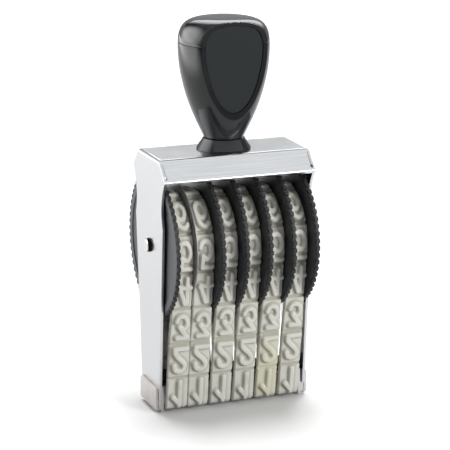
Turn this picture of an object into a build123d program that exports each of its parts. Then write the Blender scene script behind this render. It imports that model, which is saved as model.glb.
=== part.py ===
from build123d import *
import math
import os

# Hand number stamp: six endless rubber bands of raised, mirrored digits run round printing drums
# at the axle and round a foot at the bottom. A serrated thumbwheel turns each band.
# Millimetres. +Z is up, the front is -Y, and the origin is on the paper, under the middle.

# ---- driving dimensions --------------------------------------------------------------------
# Bands
symbols = "0123456789-./ "
band_count = 6
band_width = 7.0
belt_thickness = 1.3
pad_thickness = 0.6
pad_gap = 1.3
digit_relief = 1.2
digit_width = 5.9
digit_height = 10.8
digit_stroke = 1.6
band_fit = 0.15

# Thumbwheels
drum_radius = 16.5
disc_tip_radius = 26.0
tooth_depth = 0.85
tooth_count = 62
tooth_share = 0.56
disc_thickness = 1.35
disc_dish = 0.3
disc_rim = 2.6
side_gap = 0.195
hub_wall = 2.2
drum_wall = 2.2
drum_rib = 1.4
drum_rib_count = 6
drum_pocket_floor = 1.2

# Separator between the first two bands
separator_thickness = 0.4
separator_radius = 21.8
separator_gap = 0.2

# Axle and what turns on it
axle_height = 60.0
axle_radius = 3.0
wheel_fit = 0.05
journal_step = 0.65
journal_clearance = 0.25
journal_reach = 1.4
journal_chamfer = 0.3
left_end_gap = 0.255
spring_washer_radius = 6.6
spring_washer_thickness = 0.4
spring_washer_cup = 0.3

# Housing: one folded steel sheet, with two side panels, a roof and an eave front and back
sheet = 1.0
roof_half_depth = 10.4
eave_drop = 6.8
eave_half_depth = 17.0
eave_return = 2.6
waist_rise = 17.7
waist_half_depth = 13.3
shoulder_rise = 9.0
shoulder_half_depth = 14.2
panel_lift = 0.7
panel_bottom_half_depth = 9.2
bend_radius = 1.2
hem_radius = 0.55
seam = 0.12
relief_hole_radius = 0.45

# Foot: a folded tray whose raised web the bands run under
foot_half_depth = 8.2
foot_sheet = 1.05
foot_bottom = 0.5
lip_rise = 5.0
cheek_drop = 0.7
cheek_gap = 0.05
slot_clearance = 0.25
foot_bend_radius = 1.6
web_corner_radius = 0.7
web_margin = 0.65

# Guide block on the web, inside the bands
block_rise = 1.2
block_end_gap = 0.35
block_side_gap = 0.15
block_edge_radius = 1.4

# Collar and handle
collar_radius = 9.6
collar_lip = 0.7
collar_height = 4.2
neck_radius = 6.95
neck_step = 0.4
grip_height = 32.6
grip_radius = 16.05
dome_height = 9.7
cap_rise = 1.0
cap_gap = 0.12
flat_depth = 10.5
flat_rise = 6.3
flat_run_out = 0.5
neck_flat = 0.15
plate_inset = 1.2
plate_thickness = 0.9
plate_fit = 0.08
plate_recess = 0.3
spigot_radius = 6.0
spigot_length = 6.0
spigot_fit = 0.05

# The grip's and the dome's curves pass these shares of their height and of their width
grip_shares = ((0.218, 0.374), (0.485, 0.73), (0.745, 0.92))
dome_shares = ((0.5, 0.957), (0.75, 0.875), (0.94, 0.66))

# Handle fixing
screw_radius = 2.5
screw_clearance = 0.2
screw_grip = 17.3
screw_head_radius = 4.4
screw_head_height = 2.8
screw_slot_width = 1.2
screw_slot_depth = 1.3
head_room = 1.7
washer_radius = 6.4
washer_thickness = 1.0

# Within this distance an edge counts as lying at a height
near = 0.01

os.makedirs("parts", exist_ok=True)

# ---- places worked out from them -----------------------------------------------------------
journal_radius = axle_radius - journal_step
journal_hole_radius = journal_radius + journal_clearance
hub_radius = axle_radius + hub_wall
disc_root_radius = disc_tip_radius - tooth_depth
screw_hole_radius = screw_radius + screw_clearance
collar_top_radius = neck_radius + neck_step

# Heights, from the paper up: the foot stands on the bands' digits
pad_height = belt_thickness + pad_thickness
digit_top = pad_height + digit_relief
belt_floor = digit_top
web_bottom = belt_floor + band_fit
web_top = web_bottom + foot_sheet
panel_bottom = web_top + panel_lift
lip_top = panel_bottom + lip_rise
cheek_top = lip_top - cheek_drop
block_top = lip_top + block_rise
shoulder_height = axle_height + shoulder_rise
waist_height = axle_height + waist_rise
head_bottom = axle_height + disc_tip_radius + head_room
head_top = head_bottom + screw_head_height
under_roof = head_top + washer_thickness
roof_height = under_roof + sheet
eave_height = roof_height - eave_drop
collar_top = roof_height + collar_height
screw_top = collar_top + screw_grip
flat_bottom = collar_top + flat_rise
widest_height = collar_top + grip_height
cap_seam = widest_height + cap_rise
handle_top = widest_height + dome_height

# Widths: the bands, discs, separator and spring washer fill the room between the panels. The
# second band starts after the separator, and each later one after a disc.
stack_pitch = band_width + disc_thickness + 2 * side_gap
first_band_start = left_end_gap + disc_thickness + side_gap
separator_start = first_band_start + band_width + separator_gap
second_band_start = separator_start + separator_thickness + separator_gap
last_disc_end = second_band_start + (band_count - 1) * stack_pitch - side_gap
spring_room = side_gap + spring_washer_thickness + spring_washer_cup
panel_inside = (last_disc_end + spring_room) / 2
half_width = panel_inside + sheet
band_lefts = [first_band_start - panel_inside]
for count in range(band_count - 1):
    band_lefts.append(second_band_start + count * stack_pitch - panel_inside)
web_half_width = web_margin - band_lefts[0]
cheek_inside = half_width + cheek_gap
cheek_outside = cheek_inside + foot_sheet
lip_inside = foot_half_depth - foot_sheet

# The belt's inner surface is at offset 0: flat under the foot, straight up both strands,
# and round the drum.
corner_half = foot_half_depth + band_fit - web_corner_radius
corner_height = belt_floor + web_corner_radius
loop_radius = drum_radius + band_fit
centre_rise = axle_height - corner_height
centre_span = math.hypot(corner_half, centre_rise)
strand_lean = math.asin((loop_radius - web_corner_radius) / centre_span)
strand_lean -= math.atan2(corner_half, centre_rise)
strand_length = math.sqrt(centre_span**2 - (loop_radius - web_corner_radius) ** 2)

middle = belt_thickness / 2
corner_length = (math.pi / 2 - strand_lean) * (web_corner_radius + middle)
over_drum = (math.pi + 2 * strand_lean) * (loop_radius + middle)
loop_length = 2 * (corner_half + corner_length + strand_length) + over_drum
tile_pitch = loop_length / len(symbols)


def write(part, name):
    part.label = name
    export_step(part, f"parts/{name}.step")


def edges_at(built, height):
    """The edges that lie at one height."""
    return built.edges().filter_by_position(Axis.Z, height - near, height + near)


def loop_place(distance):
    """Point (y, z) and outward normal (y, z) on the belt's middle line, from the bottom
    centre towards the front strand."""
    behind = distance > loop_length / 2
    along = loop_length - distance if behind else distance
    lean_cos = math.cos(strand_lean)
    lean_sin = math.sin(strand_lean)
    if along < corner_half:
        point = (-along, belt_floor - middle)
        normal = (0.0, -1.0)
    elif along < corner_half + corner_length:
        turn = (along - corner_half) / (web_corner_radius + middle)
        normal = (-math.sin(turn), -math.cos(turn))
        reach = web_corner_radius + middle
        point = (-corner_half + reach * normal[0], corner_height + reach * normal[1])
    elif along < corner_half + corner_length + strand_length:
        run = along - corner_half - corner_length
        normal = (-lean_cos, -lean_sin)
        reach = web_corner_radius + middle
        point = (
            -corner_half + reach * normal[0] - run * lean_sin,
            corner_height + reach * normal[1] + run * lean_cos,
        )
    else:
        turn = (along - corner_half - corner_length - strand_length) / (loop_radius + middle)
        angle = turn - strand_lean
        normal = (-math.cos(angle), math.sin(angle))
        reach = loop_radius + middle
        point = (reach * normal[0], axle_height + reach * normal[1])
    if behind:
        return (-point[0], point[1]), (-normal[0], normal[1])
    return point, normal


def loop_outline(offset):
    """Closed outline of the band loop at a height above the belt's inner surface."""
    small = web_corner_radius + offset
    large = loop_radius + offset
    lean = math.degrees(strand_lean)
    cos_lean = math.cos(strand_lean)
    sin_lean = math.sin(strand_lean)
    low = (corner_half + small * cos_lean, corner_height - small * sin_lean)
    high = (large * cos_lean, axle_height - large * sin_lean)
    floor = corner_height - small
    Line((-corner_half, floor), (corner_half, floor))
    CenterArc((corner_half, corner_height), small, -90, 90 - lean)
    Line(low, high)
    CenterArc((0, axle_height), large, -lean, 180 + 2 * lean)
    Line((-high[0], high[1]), (-low[0], low[1]))
    CenterArc((-corner_half, corner_height), small, 180 + lean, 90 - lean)


# ---- digits --------------------------------------------------------------------------------
def bar(start, end):
    with BuildLine() as stroke:
        Line(start, end)
    trace(stroke.line, digit_stroke)


def curve(*points):
    with BuildLine() as stroke:
        Spline(*points)
    trace(stroke.line, digit_stroke)


def rings(*rounds):
    """Ovals of one stroke width, each given as the height of its centre and its half height and
    half width along the middle of the stroke."""
    edge = digit_stroke / 2
    for height, tall, wide in rounds:
        with Locations((0, height)):
            Ellipse(wide + edge, tall + edge)
    for height, tall, wide in rounds:
        with Locations((0, height)):
            Ellipse(wide - edge, tall - edge, mode=Mode.SUBTRACT)


def draw_symbol(symbol):
    """One symbol the right way round, centred on the origin. Its strokes run between -side and
    side and between -rise and rise, and reach an edge further."""
    side = (digit_width - digit_stroke) / 2
    rise = (digit_height - digit_stroke) / 2
    edge = digit_stroke / 2
    if symbol == "0":
        rings((0, rise, side))
    elif symbol == "1":
        bar((0.33 * side, -rise - edge), (0.33 * side, rise + edge))
        bar((0.33 * side, rise), (-0.75 * side, 0.48 * rise))
    elif symbol == "2":
        bar((-side - edge, -rise), (side + edge, -rise))
        curve(
            (-0.83 * side, -rise),
            (-0.7 * side, -0.55 * rise),
            (0.1 * side, -0.1 * rise),
            (side, 0.45 * rise),
            (0.1 * side, rise),
            (-side, 0.56 * rise),
        )
    elif symbol == "3":
        bar((-0.85 * side, rise), (side + edge, rise))
        bar((0.85 * side, 0.93 * rise), (-0.1 * side, 0.12 * rise))
        curve(
            (-0.1 * side, 0.12 * rise),
            (side, -0.35 * rise),
            (0.1 * side, -rise),
            (-side, -0.5 * rise),
        )
    elif symbol == "4":
        bar((0.4 * side, 1.08 * rise), (-1.1 * side, -0.26 * rise))
        bar((-side - edge, -0.22 * rise), (side + edge, -0.22 * rise))
        bar((0.55 * side, -rise - edge), (0.55 * side, 0.6 * rise))
    elif symbol == "5":
        bar((-0.75 * side - edge, rise), (side + edge, rise))
        bar((-0.75 * side, rise), (-0.75 * side, 0.04 * rise))
        curve(
            (-0.75 * side, 0.08 * rise),
            (0.2 * side, 0.3 * rise),
            (side, -0.35 * rise),
            (0.1 * side, -rise),
            (-side, -0.62 * rise),
        )
    elif symbol == "6":
        rings((-0.38 * rise, 0.62 * rise, side))
        curve((-side, -0.38 * rise), (-0.72 * side, 0.62 * rise), (0.1 * side, rise), (side, 0.7 * rise))
    elif symbol == "7":
        bar((-side - edge, rise), (side + edge, rise))
        bar((side, rise), (-0.4 * side, -rise - edge))
    elif symbol == "8":
        rings((-0.47 * rise, 0.53 * rise, side), (0.53 * rise, 0.47 * rise, 0.87 * side))
    elif symbol == "9":
        rings((0.38 * rise, 0.62 * rise, side))
        curve((side, 0.38 * rise), (0.72 * side, -0.62 * rise), (-0.1 * side, -rise), (-side, -0.7 * rise))
    elif symbol == "-":
        bar((-side, 0), (side, 0))
    elif symbol == ".":
        with Locations((0, -0.93 * rise)):
            Circle(1.4 * edge)
    elif symbol == "/":
        bar((-side, -rise), (side, rise))


# ---- bands ---------------------------------------------------------------------------------
# Every band shows the same setting, so one is drawn and set down in each place.
with BuildPart() as digits:
    for number, symbol in enumerate(symbols):
        if symbol == " ":
            continue
        point, normal = loop_place(number * tile_pitch)
        root = Plane(
            origin=(band_width / 2, point[0], point[1]),
            x_dir=(1, 0, 0),
            z_dir=(0, normal[0], normal[1]),
        )
        with BuildSketch(Plane.XY) as drawn:
            draw_symbol(symbol)
        with BuildSketch(root) as stamped:
            add(mirror(drawn.sketch, about=Plane.XZ, mode=Mode.PRIVATE))
        extrude(amount=digit_top + digit_relief)
    with BuildSketch(Plane.YZ) as relief_ring:
        with BuildLine():
            loop_outline(digit_top)
        make_face()
        with BuildLine():
            loop_outline(pad_height - pad_thickness / 2)
        make_face(mode=Mode.SUBTRACT)
    extrude(amount=band_width, mode=Mode.INTERSECT)

with BuildPart() as band_pattern:
    with BuildSketch(Plane.YZ) as belt_section:
        with BuildLine():
            loop_outline(pad_height)
        make_face()
        with BuildLine():
            loop_outline(0)
        make_face(mode=Mode.SUBTRACT)
        for number in range(len(symbols)):
            point, normal = loop_place((number + 0.5) * tile_pitch)
            tilt = math.degrees(math.atan2(normal[1], normal[0]))
            notch_start = belt_thickness - middle
            with Locations(Location((point[0], point[1]), tilt)):
                with Locations((notch_start + pad_thickness, 0)):
                    Rectangle(2 * pad_thickness, pad_gap, mode=Mode.SUBTRACT)
    extrude(amount=band_width)
    add(digits.part)

for number, left in enumerate(band_lefts):
    with BuildPart() as band:
        add(band_pattern.part.moved(Location((left, 0, 0))))
    write(band.part, f"number_band_{number + 1}")


# ---- thumbwheels ---------------------------------------------------------------------------
# A drum as wide as its band, with a serrated disc on one side and ribbed pockets on the other.
def wheel_body(disc_left, disc_side):
    """Disc from disc_left towards +X; disc_side is +1 where the drum is on its left."""
    drum_length = band_width + 1.5 * side_gap
    if disc_side > 0:
        drum_left = disc_left - drum_length
        pocket_left = drum_left
        outer_face = disc_left + disc_thickness
    else:
        drum_left = disc_left + disc_thickness
        pocket_left = drum_left + drum_pocket_floor
        outer_face = disc_left
    pocket_length = drum_length - drum_pocket_floor
    disc_plane = Plane.YZ.offset(disc_left)
    with BuildPart() as wheel:
        with BuildSketch(disc_plane):
            with Locations((0, axle_height)):
                Circle(disc_root_radius)
                tooth_length = 2 * tooth_depth
                tooth_width = tooth_share * 2 * math.pi * disc_tip_radius / tooth_count
                with PolarLocations(disc_root_radius, tooth_count):
                    Rectangle(tooth_length, tooth_width)
        extrude(amount=disc_thickness)
        with BuildSketch(Plane.YZ.offset(drum_left)):
            with Locations((0, axle_height)):
                Circle(drum_radius)
        extrude(amount=drum_length)
        with BuildSketch(Plane.YZ.offset(pocket_left)):
            with Locations((0, axle_height)):
                Circle(drum_radius - drum_wall)
                Circle(hub_radius, mode=Mode.SUBTRACT)
                rib_length = drum_radius - hub_radius
                rib_middle = (drum_radius - drum_wall + hub_radius) / 2
                with PolarLocations(rib_middle, drum_rib_count):
                    Rectangle(rib_length, drum_rib, mode=Mode.SUBTRACT)
        extrude(amount=pocket_length, mode=Mode.SUBTRACT)
        with BuildSketch(Plane.YZ.offset(outer_face)):
            with Locations((0, axle_height)):
                Circle(disc_root_radius - disc_rim)
                Circle(hub_radius + disc_rim, mode=Mode.SUBTRACT)
        extrude(amount=-disc_dish * disc_side, mode=Mode.SUBTRACT)
        with BuildSketch(Plane.YZ.offset(drum_left - disc_thickness)):
            with Locations((0, axle_height)):
                Circle(axle_radius + wheel_fit)
        extrude(amount=drum_length + 2 * disc_thickness, mode=Mode.SUBTRACT)
    return wheel.part


for number, left in enumerate(band_lefts):
    if number == 0:
        wheel_part = wheel_body(left - side_gap - disc_thickness, -1)
    else:
        wheel_part = wheel_body(left + band_width + side_gap, 1)
    write(wheel_part, f"thumbwheel_{number + 1}")

with BuildPart() as separator:
    with BuildSketch(Plane.YZ.offset(separator_start - panel_inside)):
        with Locations((0, axle_height)):
            Circle(separator_radius)
            Circle(axle_radius + wheel_fit, mode=Mode.SUBTRACT)
    extrude(amount=separator_thickness)
write(separator.part, "separator_disc")

# ---- axle ----------------------------------------------------------------------------------
# The journals at its ends stand out of the side panels; the shoulders meet the panels inside.
with BuildPart() as axle:
    with BuildSketch(Plane.YZ.offset(-panel_inside)):
        with Locations((0, axle_height)):
            Circle(axle_radius)
    extrude(amount=2 * panel_inside)
    for side in (-1, 1):
        with BuildSketch(Plane.YZ.offset(side * panel_inside)):
            with Locations((0, axle_height)):
                Circle(journal_radius)
        extrude(amount=side * (sheet + journal_reach))
    rims = axle.edges().filter_by(GeomType.CIRCLE).group_by(Axis.X)
    chamfer(rims[0] + rims[-1], journal_chamfer)
write(axle.part, "axle")

# A cupped spring washer between the last disc and the right panel keeps the stack together.
with BuildPart() as spring_washer:
    with BuildSketch(Plane.XZ):
        with BuildLine():
            inner = axle_height + axle_radius + wheel_fit
            outer = axle_height + spring_washer_radius
            cup_left = panel_inside - spring_washer_cup - spring_washer_thickness
            rim_left = panel_inside - spring_washer_thickness
            Polyline(
                (cup_left, inner),
                (cup_left + spring_washer_thickness, inner),
                (panel_inside, outer),
                (rim_left, outer),
                close=True,
            )
        make_face()
    revolve(axis=Axis((0, 0, axle_height), (1, 0, 0)))
write(spring_washer.part, "spring_washer")

# ---- housing -------------------------------------------------------------------------------
with BuildPart() as housing:
    with BuildSketch(Plane.YZ.offset(-half_width)):
        with BuildLine():
            Line((0, panel_bottom), (panel_bottom_half_depth, panel_bottom))
            Line((panel_bottom_half_depth, panel_bottom), (shoulder_half_depth, shoulder_height))
            ThreePointArc(
                (shoulder_half_depth, shoulder_height),
                (waist_half_depth, waist_height),
                (eave_half_depth, eave_height),
            )
            Line((eave_half_depth, eave_height), (roof_half_depth, roof_height))
            Line((roof_half_depth, roof_height), (0, roof_height))
            mirror(about=Plane.YZ)
        make_face()
    extrude(amount=2 * half_width)
    # The room between the panels, up to the roof sheet and its eaves
    with BuildSketch(Plane.YZ.offset(-panel_inside)):
        slope = math.atan2(roof_height - eave_height, eave_half_depth - roof_half_depth)
        inset = sheet * math.tan(slope / 2)
        hem_top = eave_height + sheet
        hem_outer = eave_half_depth - sheet / math.tan(slope) - sheet / math.sin(slope)
        hem_inner = eave_half_depth - eave_return
        with BuildLine():
            Polyline(
                (0, under_roof),
                (roof_half_depth - inset, under_roof),
                (hem_outer, hem_top),
                (hem_inner, hem_top),
                (hem_inner, eave_height - sheet),
                (2 * eave_half_depth, eave_height - sheet),
                (2 * eave_half_depth, 0),
                (0, 0),
                close=True,
            )
        make_face()
        mirror(about=Plane.YZ)
    extrude(amount=2 * panel_inside, mode=Mode.SUBTRACT)
    fillet(edges_at(housing, roof_height), bend_radius)
    hem_edges = edges_at(housing, eave_height).filter_by(Axis.X)
    fillet(hem_edges.group_by(SortBy.DISTANCE)[-1], hem_radius)
    # Open seams where the eaves meet the panels, with a relief hole at the foot of each
    for side in (-1, 1):
        seam_top = roof_height - bend_radius
        with Locations((side * (panel_inside - seam / 2), 0, (hem_top + seam_top) / 2)):
            Box(seam, 3 * eave_half_depth, seam_top - hem_top, mode=Mode.SUBTRACT)
        relief_height = hem_top + relief_hole_radius
        with Locations(Location((side * panel_inside, 0, relief_height), (90, 0, 0))):
            Cylinder(relief_hole_radius, 3 * eave_half_depth, mode=Mode.SUBTRACT)
    with Locations(Location((0, 0, axle_height), (0, 90, 0))):
        Cylinder(journal_hole_radius, 4 * half_width, mode=Mode.SUBTRACT)
    with Locations((0, 0, roof_height)):
        Cylinder(screw_hole_radius, 4 * sheet, mode=Mode.SUBTRACT)
write(housing.part, "housing")

# ---- foot ----------------------------------------------------------------------------------
with BuildPart() as foot:
    foot_height = lip_top - foot_bottom
    with Locations((0, 0, foot_bottom + foot_height / 2)):
        Box(2 * cheek_outside, 2 * foot_half_depth, foot_height)
    fillet(edges_at(foot, foot_bottom), foot_bend_radius)
    with Locations((0, 0, foot_bottom + foot_sheet + foot_height / 2)):
        Box(2 * cheek_inside, 2 * lip_inside, foot_height, mode=Mode.SUBTRACT)
    for side in (-1, 1):
        # Cheek tops stand a little lower than the lips
        with Locations((side * cheek_outside, 0, cheek_top + foot_height / 2)):
            cheek_cut = 2 * (cheek_outside - panel_inside)
            Box(cheek_cut, 3 * foot_half_depth, foot_height, mode=Mode.SUBTRACT)
        # Slots in the lips for the panels' lower ends
        slot_width = cheek_inside - panel_inside + slot_clearance
        with Locations((side * (cheek_inside - slot_width / 2), 0, panel_bottom + foot_height / 2)):
            Box(slot_width, 3 * foot_half_depth, foot_height, mode=Mode.SUBTRACT)
        # Open seams between lips and cheeks
        seam_height = panel_bottom - foot_bottom - foot_bend_radius
        with Locations((side * (cheek_inside - seam / 2), 0, panel_bottom - seam_height / 2)):
            Box(seam, 3 * foot_half_depth, seam_height, mode=Mode.SUBTRACT)
    # Raised web: clear below it for the bands, joined to the ends by a step each side
    with Locations((0, 0, (web_top + foot_bottom) / 2)):
        Box(2 * (web_half_width + foot_sheet), 2 * foot_half_depth, web_top - foot_bottom)
    with Locations((0, 0, web_bottom / 2)):
        Box(2 * web_half_width, 3 * foot_half_depth, web_bottom, mode=Mode.SUBTRACT)
    fillet(edges_at(foot, web_bottom).filter_by(Axis.X), web_corner_radius - band_fit)
write(foot.part, "foot_tray")

with BuildPart() as guide_block:
    block_height = block_top - web_top
    with Locations((0, 0, web_top + block_height / 2)):
        Box(
            2 * (panel_inside - block_end_gap),
            2 * (lip_inside - block_side_gap),
            block_height,
        )
    top_edges = guide_block.edges().filter_by(Axis.X).group_by(Axis.Z)[-1]
    fillet(top_edges, block_edge_radius)
write(guide_block.part, "guide_block")

# ---- handle --------------------------------------------------------------------------------
def handle_outline(inset=0.0):
    """The grip and dome outline, from the neck up to the crown and back down the middle, drawn
    inside the handle's own outline by an inset."""
    growth = grip_radius - neck_radius
    grip_points = [
        (neck_radius + width * growth - inset, collar_top + height * grip_height)
        for height, width in ((0, 0), *grip_shares, (1, 1))
    ]
    grip = Spline(*grip_points, tangents=((0.42, 1), (0, 1)))
    dome_points = [
        (width * (grip_radius - inset), widest_height + height * (dome_height - inset))
        for height, width in ((0, 1), *dome_shares, (1, 0))
    ]
    dome = Spline(*dome_points, tangents=((0, 1), (-1, 0)))
    Line(dome @ 1, (0, collar_top))
    Line((0, collar_top), grip @ 0)


with BuildPart() as handle_shape:
    with BuildSketch(Plane.XZ):
        with BuildLine():
            handle_outline()
        make_face()
    revolve(axis=Axis.Z)
    # Flats front and back, that follow the grip in to the neck
    with BuildSketch(Plane.YZ):
        with BuildLine():
            flat_top = (flat_depth, handle_top + dome_height)
            flat_low = (flat_depth, flat_bottom)
            outside = 2 * grip_radius
            flat_end = (neck_radius - neck_flat, collar_top - flat_run_out)
            Line(flat_top, flat_low)
            Spline(flat_low, flat_end, tangents=((0, -1), (-0.45, -1)))
            Polyline(flat_end, (outside, flat_end[1]), (outside, flat_top[1]), flat_top)
        make_face()
        mirror(about=Plane.YZ)
    extrude(amount=outside, both=True, mode=Mode.SUBTRACT)


def plate_face(clearance):
    """The label plate's outline in the plane of the front flat: where that plane cuts a form
    that lies inside the handle."""
    with BuildPart() as inner_form:
        with BuildSketch(Plane.XZ) as inner_half:
            with BuildLine() as inner_line:
                handle_outline(plate_inset - clearance)
            make_face(inner_line.edges())
        revolve(inner_half.sketch, axis=Axis.Z)
    return section(
        inner_form.part,
        section_by=Plane.XZ.offset(flat_depth),
        mode=Mode.PRIVATE,
    ).face()


pocket_depth = plate_thickness + plate_recess
with BuildPart() as handle_bare:
    add(handle_shape.part)
    extrude(plate_face(plate_fit), amount=pocket_depth, dir=(0, 1, 0), mode=Mode.SUBTRACT)
    with BuildPart(mode=Mode.PRIVATE) as rear_pocket:
        extrude(plate_face(plate_fit), amount=pocket_depth, dir=(0, 1, 0))
        mirror(about=Plane.XZ)
    add(rear_pocket.part, mode=Mode.SUBTRACT)

socket_depth = spigot_length + 2 * spigot_fit
with BuildPart() as handle_body:
    add(handle_bare.part)
    split(bisect_by=Plane.XY.offset(cap_seam), keep=Keep.BOTTOM)
    with Locations((0, 0, cap_seam - socket_depth / 2)):
        Cylinder(spigot_radius + spigot_fit, socket_depth, mode=Mode.SUBTRACT)
    bore_top = screw_top + spigot_fit
    with Locations((0, 0, (collar_top + bore_top) / 2)):
        Cylinder(screw_radius + spigot_fit, bore_top - collar_top, mode=Mode.SUBTRACT)
write(handle_body.part, "handle_body")

with BuildPart() as handle_cap:
    add(handle_bare.part)
    split(bisect_by=Plane.XY.offset(cap_seam + cap_gap), keep=Keep.TOP)
    with Locations((0, 0, cap_seam + cap_gap - spigot_length / 2)):
        Cylinder(spigot_radius, spigot_length)
write(handle_cap.part, "handle_cap")

for name, side in (("front", -1), ("rear", 1)):
    with BuildPart() as label_plate:
        extrude(plate_face(0), amount=pocket_depth, dir=(0, 1, 0))
        with Locations((0, -flat_depth, cap_seam)):
            Box(4 * flat_depth, 2 * plate_recess, 2 * handle_top, mode=Mode.SUBTRACT)
        if side > 0:
            mirror(about=Plane.XZ, mode=Mode.REPLACE)
    write(label_plate.part, f"label_plate_{name}")

with BuildPart() as collar:
    with BuildSketch(Plane.XZ):
        with BuildLine():
            Polyline(
                (screw_hole_radius, roof_height),
                (collar_radius, roof_height),
                (collar_radius, roof_height + collar_lip),
            )
            Spline(
                (collar_radius, roof_height + collar_lip),
                (collar_top_radius, collar_top),
                tangents=((-0.75, 1), (-0.5, 1)),
            )
            Polyline(
                (collar_top_radius, collar_top),
                (screw_hole_radius, collar_top),
                (screw_hole_radius, roof_height),
            )
        make_face()
    revolve(axis=Axis.Z)
write(collar.part, "collar")

# ---- handle fixing -------------------------------------------------------------------------
with BuildPart() as screw_washer:
    with BuildSketch(Plane.XY.offset(head_top)):
        Circle(washer_radius)
        Circle(screw_hole_radius, mode=Mode.SUBTRACT)
    extrude(amount=washer_thickness)
write(screw_washer.part, "screw_washer")

with BuildPart() as handle_screw:
    with Locations((0, 0, (head_bottom + head_top) / 2)):
        Cylinder(screw_head_radius, screw_head_height)
    fillet(handle_screw.edges().group_by(Axis.Z)[0], screw_head_height / 4)
    with Locations((0, 0, (head_top + screw_top) / 2)):
        Cylinder(screw_radius, screw_top - head_top)
    with Locations((0, 0, head_bottom)):
        Box(screw_slot_width, 3 * screw_head_radius, 2 * screw_slot_depth, mode=Mode.SUBTRACT)
write(handle_screw.part, "handle_screw")
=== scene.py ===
# %% [markdown]
# A hand number stamp: six rubber bands of raised digits between black thumbwheels, in a folded
# and plated steel housing, under a charcoal plastic handle. The construction comes from a packed
# CAD model, which stays where it is. This script gives every part its finish, and models again
# the parts whose edges and curves decide how they catch the light.
#
# Everything is in metres, with the origin on the paper under the middle of the stamp. +Z is up,
# and the front, where the digits are read, is -Y.

# %% Load the frame
import math
import bmesh
import bpy
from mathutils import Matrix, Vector, kdtree, noise
from mathutils.geometry import interpolate_bezier


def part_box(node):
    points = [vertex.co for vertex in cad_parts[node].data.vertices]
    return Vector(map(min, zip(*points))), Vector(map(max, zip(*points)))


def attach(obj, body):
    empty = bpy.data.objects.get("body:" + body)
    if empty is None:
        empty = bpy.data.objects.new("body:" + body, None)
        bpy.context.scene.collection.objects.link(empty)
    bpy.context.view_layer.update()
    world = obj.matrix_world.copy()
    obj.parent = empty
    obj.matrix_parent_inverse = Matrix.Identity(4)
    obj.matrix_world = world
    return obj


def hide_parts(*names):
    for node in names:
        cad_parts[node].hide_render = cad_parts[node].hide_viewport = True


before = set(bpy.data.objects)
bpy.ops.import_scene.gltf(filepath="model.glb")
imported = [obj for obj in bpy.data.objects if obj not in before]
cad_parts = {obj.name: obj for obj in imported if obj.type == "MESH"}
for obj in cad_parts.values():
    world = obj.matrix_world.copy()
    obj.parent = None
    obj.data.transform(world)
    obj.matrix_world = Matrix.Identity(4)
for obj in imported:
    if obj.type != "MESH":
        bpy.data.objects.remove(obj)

mm = 0.001
scene = bpy.context.scene
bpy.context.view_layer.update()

# %% [markdown]
# The camera stands to the left of the front and a little above, far away behind a long lens, as
# for a catalogue picture. It looks at a point near the middle of the stamp. The place of the
# camera follows from that point, a distance and two angles, which are easy to think about.

# %% Camera
look_at = Vector((0.0005, 0.0, 0.0645))
camera_distance = 0.679
camera_turn = math.radians(-21.12)
camera_rise = math.radians(14.68)

camera_data = bpy.data.cameras.new("camera")
camera_data.sensor_width = 36.0
camera_data.lens = 152.87
camera = bpy.data.objects.new("camera", camera_data)
scene.collection.objects.link(camera)
scene.camera = camera
towards_camera = Vector(
    (
        math.sin(camera_turn) * math.cos(camera_rise),
        -math.cos(camera_turn) * math.cos(camera_rise),
        math.sin(camera_rise),
    )
)
camera.location = look_at + towards_camera * camera_distance
camera.rotation_euler = (math.pi / 2 - camera_rise, 0.0, camera_turn)
print("camera at", [round(value, 4) for value in camera.location])

# %% [markdown]
# A finish is a node tree, and most of it is arithmetic on patterns. The first class below wraps
# the output of a node, so that a formula written in Python, such as 1 - mask * 0.5, adds the Math
# nodes that it stands for. The second holds a node tree, and its method `node` adds any other
# kind of node: the settings come first, because they can change which sockets a node has.


# %% Sockets that do arithmetic
class Wire:
    """The output of a node, which can be used in a formula."""

    def __init__(self, owner, socket):
        self.owner = owner
        self.socket = socket

    def math(self, operation, *values):
        return self.owner.node("Math", {"operation": operation}, dict(enumerate(values)))

    def __add__(self, other):
        return self.math("ADD", self, other)

    def __radd__(self, other):
        return self.math("ADD", other, self)

    def __sub__(self, other):
        return self.math("SUBTRACT", self, other)

    def __rsub__(self, other):
        return self.math("SUBTRACT", other, self)

    def __mul__(self, other):
        return self.math("MULTIPLY", self, other)

    def __rmul__(self, other):
        return self.math("MULTIPLY", other, self)

    def step(self, low, high):
        """0 below low, 1 above high, and a smooth way between them."""
        settings = {"interpolation_type": "SMOOTHSTEP"}
        values = {"Value": self, "From Min": low, "From Max": high}
        return self.owner.node("MapRange", settings, values)

    def size(self):
        return self.math("ABSOLUTE", self)


# %% A node tree
class Nodes:
    """A node tree to which nodes are added by calls and formulas."""

    def __init__(self, tree):
        self.tree = tree

    def plug(self, socket, value):
        if isinstance(value, Wire):
            self.tree.links.new(value.socket, socket)
        elif socket.type == "RGBA" and len(value) == 3:
            socket.default_value = (*value, 1.0)
        else:
            socket.default_value = value

    def node(self, kind, settings=None, values=None, output=0):
        made = self.tree.nodes.new("ShaderNode" + kind)
        for name, value in (settings or {}).items():
            setattr(made, name, value)
        for name, value in (values or {}).items():
            self.plug(made.inputs[name], value)
        return Wire(self, made.outputs[output])

    def blend(self, share, first, second):
        """A colour between two colours."""
        return self.node("Mix", {"data_type": "RGBA"}, {0: share, 6: first, 7: second}, 2)


print("a formula on a Wire may use + - * size() step() and math()")

# %% [markdown]
# A finish starts as Blender's Principled shader. What is the same all over the surface is set on
# the shader's own sockets, and what changes over the surface is linked to them. Colours are
# written as on a screen, and `paint` turns them into the linear light that a renderer adds up.


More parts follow.
